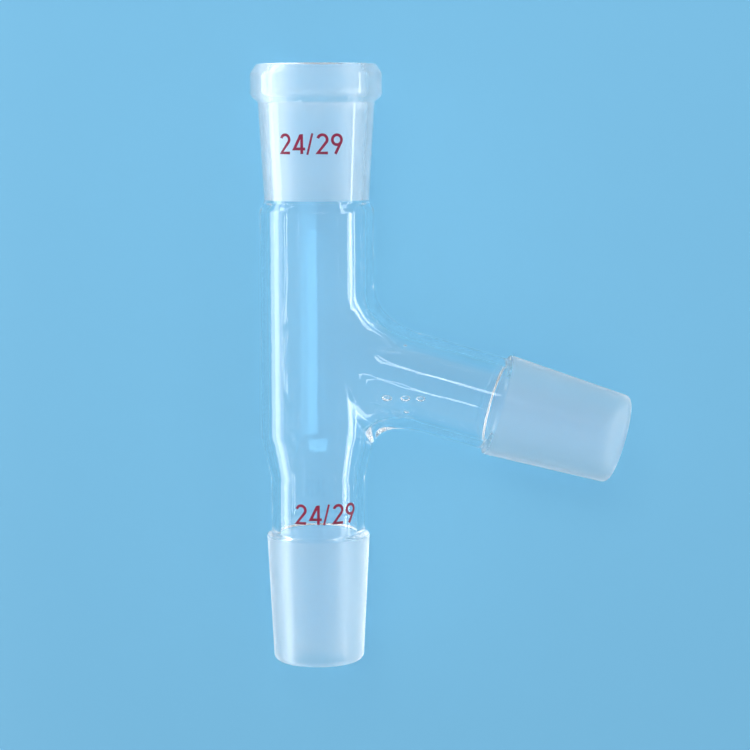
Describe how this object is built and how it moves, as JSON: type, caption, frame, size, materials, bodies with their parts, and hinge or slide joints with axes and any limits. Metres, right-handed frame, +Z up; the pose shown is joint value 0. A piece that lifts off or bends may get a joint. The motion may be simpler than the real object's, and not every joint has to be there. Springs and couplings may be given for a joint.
{
  "type": "distillation head",
  "caption": "Clear three-way glass adapter: a straight body with a ground socket on top, a ground cone below, and a slanted side arm that ends in a ground cone.",
  "frame": {"origin": "middle of the bounding box in plan, on the bench that the head lies on", "axes": "+Y along the body towards the socket, +X towards the side cone, +Z up from the bench"},
  "size_m": [0.0885, 0.1401, 0.0305],
  "materials": {
    "glass": "clear and flame-polished, frosted white where the joints are ground"
  },
  "bodies": {
    "root": {"distillation_head": "glass"}
  },
  "joints": []
}
